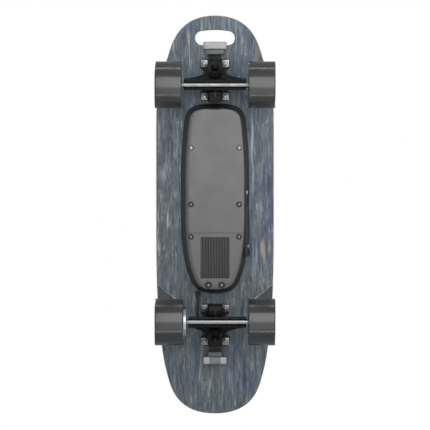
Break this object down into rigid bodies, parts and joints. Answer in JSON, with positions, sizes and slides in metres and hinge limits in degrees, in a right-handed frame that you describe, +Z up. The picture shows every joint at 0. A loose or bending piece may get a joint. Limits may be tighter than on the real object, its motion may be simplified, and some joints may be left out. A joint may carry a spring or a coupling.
{
  "type": "electric skateboard",
  "caption": "Short electric skateboard with a carrying slot in the nose, an underslung battery case, steering trucks and a hub motor wheel.",
  "frame": {"origin": "on the floor, below the middle of the deck", "axes": "+Z up, -Y towards the nose, +X towards the board's left side; the wheels turn about X"},
  "size_m": [0.232, 0.77, 0.1332],
  "materials": {
    "maple": "stained lengthwise veneer under clear satin lacquer, pale maple plies at the edge",
    "grip": "coarse black silicon-carbide grip tape",
    "tray_plastic": "fine-textured black moulded plastic",
    "cover_grey": "satin grey moulded plastic",
    "heat_sink": "black anodised finned aluminium",
    "rubber": "black rubber",
    "cell_sleeve": "blue shrink sleeve",
    "circuit_board": "green solder mask",
    "black_casting": "black powder coat over cast alloy",
    "steel": "bright zinc-plated steel",
    "black_steel": "black oxide steel",
    "urethane": "dark grey satin urethane",
    "bushing": "black cast urethane",
    "core_plastic": "black glass-filled nylon",
    "aluminium": "machined aluminium",
    "lens": "frosted pale grey polycarbonate",
    "light_grey_plastic": "grey moulded plastic"
  },
  "bodies": {
    "deck_unit": {"deck": "maple", "grip_tape": "grip", "enclosure_tray": "tray_plastic", "enclosure_gasket": "rubber", "battery_cover": "cover_grey", "controller_cover": "cover_grey", "heat_sink": "heat_sink", "battery_pack": "cell_sleeve", "battery_management_board": "circuit_board", "motor_controller": "circuit_board", "charge_socket": "black_steel", "motor_cable": "rubber", "front_riser_pad": "rubber", "front_baseplate": "black_casting", "front_pivot_cup": "rubber", "front_kingpin": "black_steel", "front_kingpin_nut": "black_steel", "front_deck_side_bushing": "bushing", "front_road_side_bushing": "bushing", "front_truck_bolt_1": "steel", "front_truck_bolt_2": "steel", "front_truck_bolt_3": "steel", "front_truck_bolt_4": "steel", "front_light_housing": "light_grey_plastic", "front_light_lens": "lens", "rear_riser_pad": "rubber", "rear_baseplate": "black_casting", "rear_pivot_cup": "rubber", "rear_kingpin": "black_steel", "rear_kingpin_nut": "black_steel", "rear_deck_side_bushing": "bushing", "rear_road_side_bushing": "bushing", "rear_truck_bolt_1": "black_steel", "rear_truck_bolt_2": "black_steel", "rear_truck_bolt_3": "black_steel", "rear_truck_bolt_4": "black_steel", "rear_light_housing": "light_grey_plastic", "rear_light_lens": "lens"},
    "front_right_wheel": {"front_right_tyre": "urethane", "front_right_wheel_core": "core_plastic", "front_right_bearing_set": "steel"},
    "front_left_wheel": {"front_left_tyre": "urethane", "front_left_wheel_core": "core_plastic", "front_left_bearing_set": "steel"},
    "rear_left_wheel": {"rear_left_tyre": "urethane", "rear_left_wheel_core": "core_plastic", "rear_left_bearing_set": "steel"},
    "motor_wheel": {"motor_tyre": "urethane", "motor_can": "aluminium"},
    "front_hanger_unit": {"front_hanger": "black_casting", "front_axle": "steel", "front_right_axle_nut": "steel", "front_left_axle_nut": "steel"},
    "rear_hanger_unit": {"rear_hanger": "black_casting", "rear_axle": "steel", "rear_right_axle_nut": "steel", "rear_left_axle_nut": "steel", "motor_stator": "black_steel"},
    "button": {"power_button": "aluminium"},
    "cap": {"charge_cap": "rubber"}
  },
  "joints": [
    {"name": "front_truck_steer", "type": "hinge", "parent": "deck_unit", "child": "front_hanger_unit", "pos_m": [0, -0.272, 0.075], "axis": [0, -0.766, 0.6428], "range_deg": [-15, 15], "stiffness_Nm_per_rad": 60, "deforming": ["front_deck_side_bushing", "front_road_side_bushing"]},
    {"name": "rear_truck_steer", "type": "hinge", "parent": "deck_unit", "child": "rear_hanger_unit", "pos_m": [0, 0.224, 0.075], "axis": [0, 0.766, 0.6428], "range_deg": [-15, 15], "stiffness_Nm_per_rad": 60, "deforming": ["rear_deck_side_bushing", "rear_road_side_bushing", "motor_cable"]},
    {"name": "front_right_wheel_spin", "type": "hinge", "parent": "front_hanger_unit", "child": "front_right_wheel", "pos_m": [-0.09, -0.252, 0.045], "axis": [1, 0, 0], "continuous": true},
    {"name": "front_left_wheel_spin", "type": "hinge", "parent": "front_hanger_unit", "child": "front_left_wheel", "pos_m": [0.09, -0.252, 0.045], "axis": [1, 0, 0], "continuous": true},
    {"name": "rear_left_wheel_spin", "type": "hinge", "parent": "rear_hanger_unit", "child": "rear_left_wheel", "pos_m": [0.09, 0.204, 0.045], "axis": [1, 0, 0], "continuous": true},
    {"name": "motor_wheel_spin", "type": "hinge", "parent": "rear_hanger_unit", "child": "motor_wheel", "pos_m": [-0.0885, 0.204, 0.045], "axis": [1, 0, 0], "continuous": true},
    {"name": "power_button_press", "type": "slide", "parent": "deck_unit", "child": "button", "axis": [-0.9656, 0, 0.2602], "range_m": [0, 0.0012], "stiffness_N_per_m": 800},
    {"name": "charge_cap_hinge", "type": "hinge", "parent": "deck_unit", "child": "cap", "pos_m": [0.06525, 0.079, 0.09836], "axis": [0.2602, 0, 0.9656], "range_deg": [0, 100], "stiffness_Nm_per_rad": 0.002}
  ]
}
